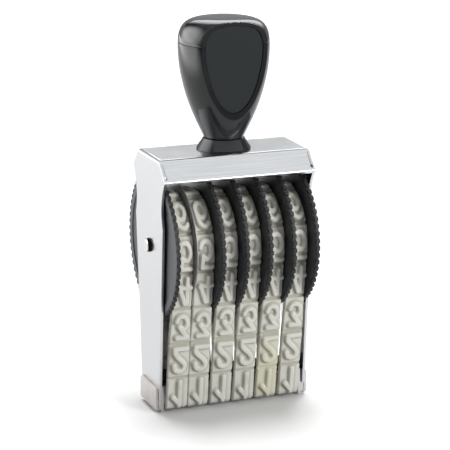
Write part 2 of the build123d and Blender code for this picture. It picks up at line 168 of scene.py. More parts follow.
# %% Finishes
def paint(code):
    """The linear colour of a hexadecimal screen colour."""
    channels = [int(code[start : start + 2], 16) / 255 for start in (1, 3, 5)]
    return tuple(c / 12.92 if c <= 0.04045 else ((c + 0.055) / 1.055) ** 2.4 for c in channels)


class Finish(Nodes):
    """A material whose patterns are worked out from the object's own coordinates."""

    def __init__(self, name, **constants):
        self.material = bpy.data.materials.new(name)
        self.material.use_nodes = True
        super().__init__(self.material.node_tree)
        self.shader = self.tree.nodes["Principled BSDF"]
        for socket, value in constants.items():
            self.give(socket.replace("_", " "), value)

    def give(self, socket, value):
        self.plug(self.shader.inputs[socket], value)

    def place(self, stretch=(1, 1, 1)):
        """Object coordinates in metres, divided by a stretch along each axis."""
        point = self.node("TexCoord", output="Object")
        values = {"Vector": point, "Scale": [1 / share for share in stretch]}
        return self.node("Mapping", None, values)

    def axis(self, name):
        return self.node("SeparateXYZ", None, {0: self.place()}, name)

    def from_axle(self, height):
        """Distance in metres from the axle's line, which lies at a height."""
        across = {1: self.axis("Y"), 2: self.axis("Z") - height}
        spoke = self.node("CombineXYZ", None, across)
        return self.node("VectorMath", {"operation": "LENGTH"}, {0: spoke}, "Value")

    def clouds(self, size, detail=2.0, stretch=(1, 1, 1)):
        """Noise from 0 to 1 whose clouds are about one size across, in metres."""
        values = {"Vector": self.place(stretch), "Scale": 1.0 / size, "Detail": detail}
        return self.node("TexNoise", None, values)

    def bump(self, height, depth):
        """A Normal from a height pattern of 0 to 1 whose full height is depth, in metres."""
        self.give("Normal", self.node("Bump", None, {"Height": height, "Distance": depth}))


print("mid grey on a screen is", round(paint("#808080")[0], 3), "in linear light")

# %% [markdown]
# The studio is plain. The world gives a weak even light. To the camera it is white, but
# reflections see a room, because plated steel and glossy plastic show little else.
#
# The room's brightness changes with the angle from the horizon behind the stamp, over the top, to
# the horizon in front: a grey backdrop, a dark gap, a dim stretch, a bright ceiling, and the part
# of the room where the camera stands. A bright panel hangs in the gap, a little to the right, and
# a soft one stands behind at the left. Bent metal and a glossy crown turn these steps into fine
# bright and dark lines. All of it is one formula on the direction of a ray.

# %% World
world_light = 0.29
backdrop_light = 0.44
gap_light = 0.06
panel_light = 2.9
shade_light = 0.28
ceiling_light = 1.0
room_light = 0.55
side_light = 4.0

# where each stretch gives way to the next, in radians over the top from the rear horizon
gap_start = (0.315, 0.33)
panel_start = (0.36, 0.385)
shade_start = (0.82, 0.88)
ceiling_start = (1.62, 1.70)
room_start = (2.1, 2.5)
panel_middle = 0.42
panel_side = (0.2, 0.5)
side_panel = Vector((-0.82, 0.5, 0.28)).normalized()
side_panel_edge = (0.72, 1.0)

scene.view_settings.view_transform = "Standard"
world = bpy.data.worlds.new("studio")
scene.world = world
world.use_nodes = True
sky = Nodes(world.node_tree)
direction = sky.node("TexCoord", output="Generated")
across, back, up = (sky.node("SeparateXYZ", None, {0: direction}, axis) for axis in "XYZ")
over = up.math("ARCTAN2", up, back)
in_panel = 1.0 - (across - panel_middle).size().step(*panel_side)
in_panel = in_panel * (over.step(*panel_start) - over.step(*shade_start))
towards = {0: direction, 1: side_panel}
nearness = sky.node("VectorMath", {"operation": "DOT_PRODUCT"}, towards, "Value")

shown = backdrop_light + (gap_light - backdrop_light) * over.step(*gap_start)
shown = shown + (panel_light - gap_light) * in_panel
shown = shown + (shade_light - gap_light) * over.step(*shade_start)
shown = shown + (ceiling_light - shade_light) * over.step(*ceiling_start)
shown = shown + (room_light - ceiling_light) * over.step(*room_start)
shown = shown + side_light * nearness.step(*side_panel_edge)

camera_ray = sky.node("LightPath", output="Is Camera Ray")
glossy_ray = sky.node("LightPath", output="Is Glossy Ray")
strength = world_light + glossy_ray * (shown - world_light) + camera_ray * (1.0 - world_light)
background = sky.tree.nodes["Background"]
background.inputs["Color"].default_value = (1.0, 1.0, 1.0, 1.0)
sky.plug(background.inputs["Strength"], strength)
print("world:", len(sky.tree.nodes), "nodes")

# %% [markdown]
# Three square lamps stand round the stamp. The key at the front right gives each digit a light
# side and a dark side. The one overhead is a little behind, so it throws the shadow forwards. The
# third fills the rear. Only the key shows in reflections: the world's room stands for the others.

# %% Lamps
lamp_aim = Vector((0.0, 0.0, 0.06))


def softbox(name, place, size, power, in_reflections):
    """A square lamp at a place, facing the middle of the stamp."""
    data = bpy.data.lights.new(name, "AREA")
    data.shape = "SQUARE"
    data.size = size
    data.energy = power
    lamp = bpy.data.objects.new(name, data)
    scene.collection.objects.link(lamp)
    lamp.location = place
    lamp.rotation_euler = (lamp_aim - Vector(place)).to_track_quat("-Z", "Y").to_euler()
    lamp.visible_glossy = in_reflections


softbox("key", (0.5, -0.88, 0.43), 0.4, 8.4, True)
softbox("overhead", (0.08, 0.2, 1.0), 0.5, 13.0, False)
softbox("rear_fill", (-0.45, 0.95, 0.45), 0.6, 3.0, False)

# %% [markdown]
# The floor is a large white sheet that keeps the stamp's shadow. Seen by the camera it glows more
# with distance, so that it has no horizon. The light that it throws back on the stamp is weaker.
# Reflections see it grey, darkest in front, where the flat of the handle should stay dark. They
# also see it glow behind the stamp, faintly, and strongly at the left, beside the side panel. The
# glow is a colour times one constant strength, so that only the colour changes over the floor.

# %% Floor
floor_size = 6.0
far_glow = 1.0
side_glow = 2.75
near_glow = 0.1
thrown_white = 0.32
seen_white = 0.74
mirrored_white = 0.15
mirrored_white_behind = 0.57

# where each change over the floor starts and ends, in metres from the stamp
glow_distance = (0.25, 1.2)
grey_front = (-0.32, -0.1)
glow_front = (-0.12, 0.08)
glow_left = (-0.42, -0.22)

floor_mesh = bpy.data.meshes.new("floor")
shape = bmesh.new()
bmesh.ops.create_grid(shape, x_segments=1, y_segments=1, size=floor_size / 2)
shape.to_mesh(floor_mesh)
shape.free()
floor = bpy.data.objects.new("floor", floor_mesh)
scene.collection.objects.link(floor)

# %% Paper of the floor
black = (0.0, 0.0, 0.0)
white = (1.0, 1.0, 1.0)
paper = Finish("white_paper", Roughness=1.0, Specular_IOR_Level=0.0)
spot = paper.node("TexCoord", output="Object")
away = paper.node("VectorMath", {"operation": "LENGTH"}, {0: spot}, "Value")
sideways, depth = (paper.node("SeparateXYZ", None, {0: spot}, axis) for axis in "XY")
seen = paper.node("LightPath", output="Is Camera Ray")
mirrored = paper.node("LightPath", output="Is Glossy Ray")

mirrored_change = (mirrored_white_behind - mirrored_white) * depth.step(*grey_front)
mirrored_change = mirrored_change + (mirrored_white - thrown_white)
share = thrown_white + seen * (seen_white - thrown_white) + mirrored * mirrored_change
paper.give("Base Color", paper.blend(share, black, white))

to_left = 1.0 - sideways.step(*glow_left)
camera_glow = far_glow / side_glow * away.step(*glow_distance)
mirror_glow = near_glow / side_glow + (1.0 - near_glow / side_glow) * to_left
mirror_glow = depth.step(*glow_front) * mirror_glow
glow = seen * camera_glow + mirrored * mirror_glow
paper.give("Emission Color", paper.blend(glow, black, white))
paper.give("Emission Strength", side_glow)
floor_mesh.materials.append(paper.material)
print("floor:", floor_size, "m square,", len(paper.tree.nodes), "nodes in its paper")

# %% [markdown]
# Each new piece is a bmesh until it is done. `add_piece` makes it an object, lets it ride on a
# body of the frame, and hides the CAD node that it stands for. The CAD node stays in the model
# for collision.


# %% From a shape to a piece
def add_piece(name, shape, finish, node, body="stamp", sharp=35.0):
    """Make a bmesh a piece in a finish, riding on a body in place of a CAD node."""
    for face in shape.faces:
        face.smooth = True
    for edge in shape.edges:
        edge.smooth = edge.calc_face_angle(0.0) < math.radians(sharp)
    mesh = bpy.data.meshes.new(name)
    shape.to_mesh(mesh)
    shape.free()
    mesh.materials.append(finish.material)
    piece = bpy.data.objects.new(name, mesh)
    scene.collection.objects.link(piece)
    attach(piece, body)
    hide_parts(node)
    triangles = sum(len(face.vertices) - 2 for face in mesh.polygons)
    print(f"{name}: {triangles} triangles, stands for {node}")
    return piece


def keep_flats_flat(piece):
    """Let the large faces decide the shading, so that only the narrow edges look round."""
    weights = piece.modifiers.new("flat_faces", "WEIGHTED_NORMAL")
    weights.keep_sharp = True


# %% [markdown]
# ## The bands
# On the real stamp each band is moulded in pale rubber, with a raised pad for each digit and a
# groove between two pads, where it bends. Moulded digits have sloping sides, wider at the foot
# than at the face, so that they come out of the mould.
#
# The digits could be solids, cut or stuck together, but slopes that run into each other are hard
# to build that way. Here the band is a fine grid instead, and each point of it is lifted by a
# formula: fully on the middle of a stroke, and less on the slope beside it. The grid is then
# wrapped round the foot and the drum. The strokes are only lines: straight ones have two points,
# and curves pass smoothly through theirs. A point is given in millimetres, across the band and
# up the front of it, where the digits stand on their heads so that they print upright.

# %% The strokes of the digits
symbols = "0123456789-./ "
oval_steps = 24


def oval(across, up, wide, tall):
    """Points round an oval, from its middle and its half width and half height."""
    turns = [math.tau * step / oval_steps for step in range(oval_steps + 1)]
    return [(across + wide * math.cos(turn), up + tall * math.sin(turn)) for turn in turns]


strokes = {
    "0": [oval(0, 0, 1.95, 4.3)],
    "1": [[(0.45, 5.1), (0.45, -3.6)], [(-1.7, -0.75), (0.3, -3.3)]],
    "2": [
        [(-1.85, 4.75), (2.3, 4.75)],
        [
            (-1.85, 4.75),
            (-1.8, 3.2),
            (-0.9, 1.7),
            (0.5, 0.2),
            (1.6, -1.5),
            (1.35, -3.2),
            (-0.1, -3.9),
            (-1.45, -3.3),
            (-1.9, -1.6),
        ],
    ],
    "3": [
        [(-1.4, -4.2), (1.9, -4.2)],
        [(1.7, -3.9), (-0.75, 0.1)],
        [
            (-0.75, 0.1),
            (0.2, -0.6),
            (1.2, -0.6),
            (1.95, 0.4),
            (2.05, 1.8),
            (1.4, 3.4),
            (0.0, 4.0),
            (-1.2, 3.5),
            (-1.85, 2.2),
        ],
    ],
    "4": [
        [(-1.6, 1.75), (0.6, -4.5)],
        [(-1.7, 1.45), (2.8, 1.45)],
        [(1.35, 4.7), (1.35, -4.3)],
    ],
    "5": [
        [(-1.25, -4.85), (2.4, -4.85)],
        [(-1.25, -4.85), (-1.15, -1.0)],
        [
            (-1.15, -1.1),
            (0.0, -1.8),
            (1.2, -1.5),
            (1.95, -0.2),
            (1.95, 1.7),
            (1.3, 3.2),
            (0.0, 3.75),
            (-1.3, 3.3),
            (-2.0, 1.9),
        ],
    ],
    "6": [
        oval(0.15, 0.8, 1.8, 2.75),
        [(-1.65, 0.8), (-1.6, -1.6), (-1.1, -3.8), (0.2, -4.85), (1.5, -4.6), (2.2, -3.8)],
    ],
    "7": [[(-2.2, -4.5), (2.1, -4.5)], [(2.1, -4.5), (0.3, 0.0), (-0.8, 4.5)]],
    "8": [oval(0, 2.15, 2.1, 2.4), oval(0, -2.35, 1.85, 2.1)],
    "9": [
        oval(-0.1, -1.75, 2.0, 2.8),
        [(1.9, -1.75), (1.9, 0.6), (1.4, 2.9), (0.0, 4.4), (-1.3, 4.2), (-2.0, 3.3)],
    ],
    "-": [[(-2.0, 0.0), (2.0, 0.0)]],
    ".": [[(-0.1, 4.3), (0.1, 4.3)]],
    "/": [[(-2.0, 4.4), (2.0, -4.4)]],
}

# %% [markdown]
# The height of a point depends on how far it is from the nearest stroke. A KD tree answers that
# fast, if it holds points that lie close together along the strokes.


# %% Distance to the strokes
def along_stroke(points, steps=32):
    """Points close together on a smooth line through a stroke's points."""
    knots = [Vector((across, up, 0.0)) * mm for across, up in points]
    line = []
    for place in range(len(knots) - 1):
        before = knots[max(place - 1, 0)]
        start = knots[place]
        end = knots[place + 1]
        after = knots[min(place + 2, len(knots) - 1)]
        handle_out = start + (end - before) / 6
        handle_in = end - (after - start) / 6
        line += interpolate_bezier(start, handle_out, handle_in, end, steps)
    return line


stroke_trees = {}
for symbol, lines in strokes.items():
    samples = [point for line in lines for point in along_stroke(line)]
    tree = kdtree.KDTree(len(samples))
    for count, point in enumerate(samples):
        tree.insert(point, count)
    tree.balance()
    stroke_trees[symbol] = tree
print("strokes:", sum(len(lines) for lines in strokes.values()))

# %% [markdown]
# The band runs round the foot at the bottom and round the drum at the top, with a straight strand
# between them in front and behind. Its length is measured along the middle of the belt. A place
# on it is a distance along it, from the bottom centre towards the front, and a height above the
# belt's inner side.

# %% The loop of a band
belt = 1.3 * mm
pad = 0.6 * mm
relief = 1.2 * mm
corner_radius = 0.7 * mm
band_fit = 0.15 * mm
middle = belt / 2
thickness = belt + pad + relief
band_low, band_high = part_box("number_band_1")
foot_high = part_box("foot_tray")[1]
band_width = band_high.x - band_low.x
axle_height = band_high.z - band_high.y
drum_reach = band_high.y - thickness
corner_half = foot_high.y + band_fit - corner_radius
corner_height = thickness + corner_radius
centre_rise = axle_height - corner_height
centre_span = math.hypot(corner_half, centre_rise)
lean = math.asin((drum_reach - corner_radius) / centre_span)
lean -= math.atan2(corner_half, centre_rise)
strand = math.sqrt(centre_span**2 - (drum_reach - corner_radius) ** 2)
corner_end = corner_half + (math.pi / 2 - lean) * (corner_radius + middle)
strand_end = corner_end + strand
half_loop = strand_end + (math.pi / 2 + lean) * (drum_reach + middle)
loop_length = 2 * half_loop
pitch = loop_length / len(symbols)


def loop_place(along, height):
    """(y, z) at a distance along the band and a height above the belt's inner side."""
    side = -1
    if along > half_loop:
        along = loop_length - along
        side = 1
    if along < corner_half:
        return side * along, thickness - height
    if along < corner_end:
        turn = (along - corner_half) / (corner_radius + middle)
        reach = corner_radius + height
        depth = corner_half + reach * math.sin(turn)
        return side * depth, corner_height - reach * math.cos(turn)
    if along < strand_end:
        run = along - corner_end
        reach = corner_radius + height
        depth = corner_half + reach * math.cos(lean) + run * math.sin(lean)
        return side * depth, corner_height - reach * math.sin(lean) + run * math.cos(lean)
    turn = (along - strand_end) / (drum_reach + middle) - lean
    reach = drum_reach + height
    return side * reach * math.cos(turn), axle_height + reach * math.sin(turn)


print("band length:", round(loop_length / mm, 1), "mm, pitch:", round(pitch / mm, 2), "mm")

# %% [markdown]
# The relief formula: the face of a stroke is flat, its side falls over a short run, and both
# bends are softened. The pad ends in a groove on both sides, and its long edges are rounded.

# %% Heights on a band
face_half = 0.54 * mm
slope_run = 0.72 * mm
groove_half = 0.5 * mm
groove_slope = 0.25 * mm
edge_round = 0.3 * mm
edge_drop = 0.22 * mm
# how far the painted shade reaches beyond the foot of a stroke's slope
painted_shade_reach = 0.8 * mm


def soft_step(value, softness=0.15):
    """0 below 0, 1 above 1, and between them a slope whose two bends are softened."""
    value = min(max(value, 0.0), 1.0)
    return (1 - softness) * value + softness * value * value * (3 - 2 * value)


def relief_at(across, along):
    """Shares of the digit's full relief and of the painted shade beside it, at a place on the band."""
    number = round(along / pitch)
    symbol = symbols[number % len(symbols)]
    if symbol not in stroke_trees:
        return 0.0, 0.0
    spot = Vector((across, along - number * pitch, 0.0))
    down_slope = stroke_trees[symbol].find(spot)[2] - face_half
    lifted = 1.0 - soft_step(down_slope / slope_run)
    # painted shade: 1 at the foot of a stroke's slope, fading over a short reach
    painted_shade = 1.0 - soft_step((down_slope - slope_run) / painted_shade_reach)
    return lifted, painted_shade


def groove_at(along):
    """Share of the groove's full depth."""
    from_centre = abs(along - round(along / pitch) * pitch)
    return soft_step((from_centre - pitch / 2 + groove_half + groove_slope) / groove_slope)


print("relief and grime on the middle of the 1:", relief_at(0.0, pitch))

# %% [markdown]
# Rubber is never quite straight: the strands sway a little from side to side between the foot and
# the drum, and their edges are slightly wavy. The noise that does this is a fixed function of
# place, so it is the same in every run.
#
# A band is made flat first. A grid as long as the loop is lifted to its relief, its two long
# edges are drawn down to the inner side, and the inner side is closed. Only then is it bent.

# %% A flat band
weld = 0.001 * mm
cells_across = 46
cells_per_pitch = 88
swell_size = 0.05 * mm
swell_period = 2.5 * mm
swell_shift = 0.1


def lift_surface(shape, number):
    """Turn a unit grid into the outer side of a band: (across, along, height)."""
    tone = shape.verts.layers.float.new("relief")
    # a layer for the painted shade beside the digits and in the grooves
    shade_layer = shape.verts.layers.float.new("painted_shade")
    cells_along = cells_per_pitch * len(symbols)
    bmesh.ops.create_grid(shape, x_segments=cells_across, y_segments=cells_along, size=0.5)
    for vert in shape.verts:
        along = (vert.co.y + 0.5) * loop_length
        across = vert.co.x * band_width
        lifted, painted_shade = relief_at(across, along)
        groove = groove_at(along)
        from_edge = band_width / 2 - abs(across)
        rounding = edge_drop * max(0.0, 1 - from_edge / edge_round) ** 2
        spot = Vector((across, along, number * swell_shift)) / swell_period
        swell = swell_size * noise.noise(spot)
        height = belt + pad + relief * lifted - pad * groove - rounding
        height += swell * (1 - lifted)
        vert[tone] = lifted
        # the painted shade also covers the grooves
        vert[shade_layer] = max(painted_shade, groove)
        vert.co = (across, along, height)


def close_underside(shape):
    """Draw the two long edges down to the inner side and close it."""
    near = 0.01 * mm
    rims = [edge for edge in shape.edges if edge.is_boundary]
    rims = [edge for edge in rims if abs(edge.verts[0].co.x - edge.verts[1].co.x) < near]
    walls = bmesh.ops.extrude_edge_only(shape, edges=rims)["geom"]
    for vert in walls:
        if isinstance(vert, bmesh.types.BMVert):
            vert.co.z = 0.0
    inner = [edge for edge in walls if isinstance(edge, bmesh.types.BMEdge) and edge.is_boundary]
    inner = [edge for edge in inner if max(vert.co.z for vert in edge.verts) < near]
    bmesh.ops.bridge_loops(shape, edges=inner)


# %% Bend it into a loop
free_below = 29 * mm
held_above = 37 * mm
strand_spread = 0.075
sway_size = 0.14 * mm
sway_period = 22 * mm
sway_shift = 9.0
wave_size = 0.1 * mm
wave_period = 3.2 * mm


def freedom_at(height):
    """1 where a band hangs free, and 0 where it lies between the discs."""
    return 1.0 - soft_step((height - free_below) / (held_above - free_below))


def bend_round(shape, number, centre):
    """Wrap a flat band round the foot and the drum, and let it sway."""
    for vert in shape.verts:
        across, along, height = vert.co
        y, z = loop_place(along, height)
        freedom = freedom_at(z)
        edge_share = across / band_width * 2
        sway = noise.noise(Vector((along / sway_period, number * sway_shift, 0.0)))
        wave = edge_share * noise.noise(Vector((along / wave_period, number, edge_share)))
        x = centre + across * (1 + strand_spread * freedom)
        vert.co = (x + wave_size * wave + sway_size * freedom * sway, y, z)
    bmesh.ops.remove_doubles(shape, verts=shape.verts, dist=weld)
    bmesh.ops.recalc_face_normals(shape, faces=shape.faces)


print("a band's grid:", cells_across, "by", cells_per_pitch * len(symbols), "cells")

# %% [markdown]
# ## The rubber
# Pale rubber is a little lighter on the raised faces of the digits. Beside them, inside their
# loops and in the grooves, the colour is painted darker: painted shade for the shade that falls
# in these hollows. Two attributes that the band carries tell the finish which is which. One band
# is older and has yellowed at its lower end.


# %% Rubber finish
yellow_full = 14 * mm
yellow_none = 30 * mm


def rubber(name, yellowed):
    """Pale rubber, which is yellow at its lower end if it has yellowed."""
    finish = Finish(name, IOR=1.45)
    raised = finish.node("Attribute", {"attribute_name": "relief"}, None, "Fac")
    # the band's layer of painted shade
    painted_shade = finish.node("Attribute", {"attribute_name": "painted_shade"}, None, "Fac")
    stain = finish.clouds(5 * mm, 3.0)
    speck = finish.clouds(0.5 * mm, 1.0).step(0.7, 0.78)
    hollow = paint("#D3D2CA")
    face = paint("#D9D8D0")
    colour = finish.blend(raised.step(0.0, 1.0), hollow, face)
    # painted shade: the colour darkens beside the digits, inside their loops and in the grooves
    painted_corner_shade = painted_shade * (1.0 - raised.step(0.2, 0.75))
    colour = finish.blend(painted_corner_shade * 0.6, colour, paint("#9F9C8C"))
    colour = finish.blend(stain.step(0.45, 0.75) * 0.35, colour, paint("#B4B3A4"))
    colour = finish.blend(speck * 0.3, colour, paint("#8C8A7C"))
    if yellowed:
        low = 1.0 - finish.axis("Z").step(yellow_full, yellow_none)
        colour = finish.blend(low * 0.45, colour, paint("#D3D0AE"))
    finish.give("Base Color", colour)
    grain = finish.clouds(0.25 * mm, 3.0)
    finish.give("Roughness", 0.5 + 0.2 * stain + 0.1 * grain)
    finish.bump(grain, 0.02 * mm)
    return finish


pale_rubber = rubber("pale_rubber", False)
yellowed_rubber = rubber("yellowed_rubber", True)
print("rubbers:", pale_rubber.material.name, yellowed_rubber.material.name)

# %% [markdown]
# The six bands differ only in their place and in the noise that sways them. The CAD node of each
# says where it goes. The fifth is the yellowed one.

# %% Put the bands in place
yellowed_band = 5
for number in range(1, 7):
    node = f"number_band_{number}"
    shape = bmesh.new()
    lift_surface(shape, number)
    close_underside(shape)
    bend_round(shape, number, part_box(node)[0].x + band_width / 2)
    aged = number == yellowed_band
    finish = yellowed_rubber if aged else pale_rubber
    slot = "band_rubber_warm" if aged else "band_rubber"
    add_piece(f"moulded_band_{number}", shape, finish, node, sharp=50.0)

# %% [markdown]
# ## Softened edges
# CAD edges are perfectly sharp, and real ones never are: a plated sheet, a moulded tooth and a
# sawn shaft all have a narrow round that catches a line of light. The function below copies a CAD
# node's mesh, merges the corners of its loose triangles, makes each flat face whole, and bevels
# the sharp edges.


# %% Copy a CAD node with soft edges
flat_within = math.radians(0.5)
sharp_above = math.radians(30.0)


def softened(node, width, shortest=0.0):
    """A copy of a CAD node's mesh whose sharp edges, from a shortest length, are bevelled."""
    shape = bmesh.new()
    shape.from_mesh(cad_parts[node].data)
    bmesh.ops.remove_doubles(shape, verts=shape.verts, dist=weld)
    bmesh.ops.dissolve_limit(
        shape, angle_limit=flat_within, verts=shape.verts, edges=shape.edges
    )
    keen = [edge for edge in shape.edges if edge.calc_face_angle(0.0) > sharp_above]
    keen = [edge for edge in keen if edge.calc_length() > shortest]
    bmesh.ops.bevel(
        shape,
        geom=keen,
        offset=width,
        affect="EDGES",
        segments=2,
        profile=0.5,
        material=-1,
        clamp_overlap=False,
    )
    return shape


# %% [markdown]
# ## The thumbwheels
# Each wheel is moulded in black plastic: a toothed disc for the thumb, and a drum for the band.
# The CAD shape has all of that, so the wheels only get soft edges. The rim with its teeth is
# darker and rougher than the side of the disc, which dust lightens in patches. Each wheel rides
# on a body of its own, so it turns with its joint.

# %% Thumbwheels
rim_start = 24.7 * mm
rim_end = 25.2 * mm
wheel_plastic = Finish("wheel_plastic", IOR=1.6)
dust = wheel_plastic.clouds(2.5 * mm, 4.0)
scuff = wheel_plastic.clouds(0.6 * mm, 3.0)
wheel_colour = wheel_plastic.blend(dust.step(0.4, 0.8), paint("#1A1F26"), paint("#2A3039"))
rim = wheel_plastic.from_axle(axle_height).step(rim_start, rim_end)
wheel_colour = wheel_plastic.blend(rim * 0.8, wheel_colour, paint("#0C0D0F"))
wheel_plastic.give("Base Color", wheel_colour)
wheel_plastic.give("Roughness", 0.3 + 0.14 * scuff + 0.3 * rim)
wheel_plastic.bump(scuff, 0.015 * mm)
tooth_edge = 0.08 * mm

for number in range(1, 7):
    node = f"thumbwheel_{number}"
    shape = softened(node, tooth_edge)
    wheel = add_piece(
        f"toothed_wheel_{number}", shape, wheel_plastic, node, f"wheel_{number}"
    )
    keep_flats_flat(wheel)

# %% [markdown]
# ## The housing and the foot
# The housing is one steel sheet, plated bright, and the foot is a second one in warmer nickel.
# Polishing left fine streaks along the roof and the eaves. They come from noise that is stretched
# along X. A side panel would cut through it and show specks, so a mask on X keeps those plain.

# %% Plated sheet
panel_inside = 27.0 * mm
panel_edge = 0.1 * mm
chrome = Finish("chrome_plate", Metallic=1.0)
haze = chrome.clouds(14 * mm, 3.0)
brushed = chrome.clouds(0.35 * mm, 3.0, (60, 1, 1))
on_panel = chrome.axis("X").size().step(panel_inside - panel_edge, panel_inside + panel_edge)
streaks = brushed * (1.0 - on_panel) + 0.5 * on_panel
tint = chrome.blend(streaks.step(0.3, 0.8), paint("#D3D6D9"), paint("#E2E4E6"))
tint = chrome.blend(on_panel, tint, paint("#D9DADC"))
chrome.give("Base Color", tint)
chrome.give("Roughness", 0.13 + 0.1 * haze + 0.1 * streaks)
chrome.bump(streaks, 0.004 * mm)

nickel = Finish("nickel_plate", Metallic=1.0)
cloudy = nickel.clouds(6 * mm, 3.0)
nickel_tint = nickel.blend(cloudy.step(0.35, 0.7), paint("#CFC9C6"), paint("#D9D4D2"))
nickel.give("Base Color", nickel_tint)
nickel.give("Roughness", 0.22 + 0.14 * cloudy)
nickel.bump(nickel.clouds(1.5 * mm, 2.0), 0.004 * mm)
print("plating:", chrome.material.name, nickel.material.name)

# %% [markdown]
# The guide block between the strands is matt black plastic. The separator is thin rolled sheet,
# duller than plating. The screw and the washers are plain turned steel, and the ends of the axle
# are turned bright. Round the bright end the steel is painted dark: painted shade for the shadow
# in the hole and the dark reflection on the axle's side.

# %% Small parts' finishes
# radii from the axle's line where the bright end gives way to the painted shade on the axle's side
bright_end = 2.25 * mm
dark_side = 2.32 * mm
block_plastic = Finish("block_plastic", Base_Color=paint("#151416"))
block_plastic.give("Roughness", 0.5 + 0.2 * block_plastic.clouds(1 * mm))

steel = Finish("turned_steel", Metallic=1.0, Base_Color=paint("#C9C8C6"))
steel.give("Roughness", 0.2 + 0.15 * steel.clouds(0.2 * mm, 2.0, (8, 1, 1)))

dull_steel = Finish("dull_steel", Metallic=0.5, Base_Color=paint("#9C9C9B"))
dull_steel.give("Roughness", 0.45 + 0.15 * dull_steel.clouds(1.5 * mm, 3.0))

end_steel = Finish("journal_steel", Metallic=1.0)
# painted shade: dark steel outside the bright end, for the shadow in the hole and the dark reflection on
# the side
painted_side_shade = end_steel.from_axle(axle_height).step(bright_end, dark_side)
end_steel.give("Base Color", end_steel.blend(painted_side_shade, paint("#E4E2DF"), paint("#1A1A1B")))
end_steel.give("Roughness", 0.2 + 0.3 * painted_side_shade)
print("small parts:", [finish.material.name for finish in (block_plastic, steel, dull_steel, end_steel)])

# %% [markdown]
# These four parts are copies of the CAD shape with a narrow round on each sharp edge. The bends
# of the foot end in many short edges, which are too crowded for a bevel, so there only the longer
# edges get one.

# %% Housing, foot, block and separator
sheet_edge = 0.12 * mm
block_edge = 0.2 * mm
separator_edge = 0.08 * mm
longer_edges = 2.5 * mm
for name, node, finish, slot, edge, shortest in (
    ("folded_housing", "housing", chrome, "chromed_sheet", sheet_edge, 0.0),
    ("folded_foot", "foot_tray", nickel, "nickel_sheet", sheet_edge, longer_edges),
    ("moulded_block", "guide_block", block_plastic, "block_plastic", block_edge, 0.0),
    ("thin_separator", "separator_disc", dull_steel, "thin_steel", separator_edge, 0.0),
):
    shape = softened(node, edge, shortest)
    keep_flats_flat(add_piece(name, shape, finish, node))

# %% [markdown]
# The axle, the spring washer, the screw and its washer are round and small, and their CAD meshes
# are fine enough as they are. They only change their material.

# %% Parts that keep their CAD shape
for node, finish in (
    ("axle", end_steel),
    ("spring_washer", steel),
    ("handle_screw", steel),
    ("screw_washer", steel),
):
    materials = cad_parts[node].data.materials
    materials.clear()
    materials.append(finish.material)
    print(node, "keeps its CAD mesh, in", finish.material.name)

# %% [markdown]
# ## The handle
# The handle is a pear shape, cut flat in front and behind, with a cap that closes its top and a
# plate let into each flat. Its outline is two Bezier curves, from the neck to the widest place
# and from there to the crown. The outline is spun round the axis, and then each point that lies
# outside a flat is pulled back to it. A soft minimum does that, so the border of the flat is
# slightly round.


# %% Spin an outline
def spun(outline, steps=512):
    """A shape turned about the Z axis, from (radius, height) points."""
    shape = bmesh.new()
    verts = [shape.verts.new((radius, 0.0, height)) for radius, height in outline]
    edges = [shape.edges.new(pair) for pair in zip(verts, verts[1:])]
    bmesh.ops.spin(
        shape,
        geom=verts + edges,
        cent=(0, 0, 0),
        axis=(0, 0, 1),
        angle=math.tau,
        steps=steps,
        use_merge=True,
    )
    bmesh.ops.remove_doubles(shape, verts=shape.verts, dist=weld)
    bmesh.ops.recalc_face_normals(shape, faces=shape.faces)
    return shape


def bezier(start, handle_out, handle_in, end, steps):
    """Points of one Bezier curve, each as (radius, height)."""
    points = [Vector((*point, 0.0)) for point in (start, handle_out, handle_in, end)]
    return [(point.x, point.y) for point in interpolate_bezier(*points, steps)]


# %% Handle outline
body_low, body_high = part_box("handle_body")
neck_radius = 6.95 * mm
grip_radius = body_high.x
neck_height = body_low.z
seam_height = body_high.z
crown_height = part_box("handle_cap")[1].z
cap_rise = 1.0 * mm
widest_height = seam_height - cap_rise
neck_pull = Vector((0.42, 1.0)).normalized() * 4.0 * mm
grip_pull = 16.25 * mm
crown_pull = 11.27 * mm
grip_line = bezier(
    (neck_radius, neck_height),
    (neck_radius + neck_pull.x, neck_height + neck_pull.y),
    (grip_radius, widest_height - grip_pull),
    (grip_radius, widest_height),
    steps=120,
)
dome_line = bezier(
    (grip_radius, widest_height),
    (grip_radius, crown_height),
    (crown_pull, crown_height),
    (0.0, crown_height),
    steps=60,
)
side_line = grip_line + dome_line[1:]
print("handle:", round(2 * grip_radius / mm, 1), "mm wide, crown at", round(crown_height / mm, 1), "mm")

# %% [markdown]
# The flat is upright in its upper part. Below that it bends inwards and runs out on the round
# neck.

# %% Flats
flat_depth = body_high.y
flat_bottom = 103.0 * mm
flat_end = neck_height - 0.5 * mm
flat_end_depth = neck_radius - 0.15 * mm
run_out_pull = 0.45
border_round = 0.07 * mm


def flat_at(height):
    """How far the flat stands from the axis at a height."""
    if height > flat_bottom:
        return flat_depth
    share = (flat_bottom - height) / (flat_bottom - flat_end)
    fall = share * share * (3 - 2 * share)
    run_out = run_out_pull * (flat_bottom - flat_end) * (share**2 - share**3)
    return flat_depth - (flat_depth - flat_end_depth) * fall + run_out


def cut_flats(shape):
    """Pull each point that lies outside a flat back to it, with a soft border."""
    for vert in shape.verts:
        limit = flat_at(vert.co.z)
        reach = abs(vert.co.y)
        if reach > limit - 8 * border_round:
            low = min(reach, limit)
            rest = abs(reach - limit)
            pulled = low - border_round * math.log(1 + math.exp(-rest / border_round))
            vert.co.y = math.copysign(pulled, vert.co.y)


print("flats:", round(2 * flat_depth / mm, 1), "mm apart")

# %% [markdown]
# The pockets for the plates are cut by a Boolean modifier, because their walls are steep and
# cross the grid of the spun shape at all angles. The cutter is a plate that is slightly larger.


# %% Pockets
plate_gap = 0.14 * mm
cutter_reach = 3.0 * mm


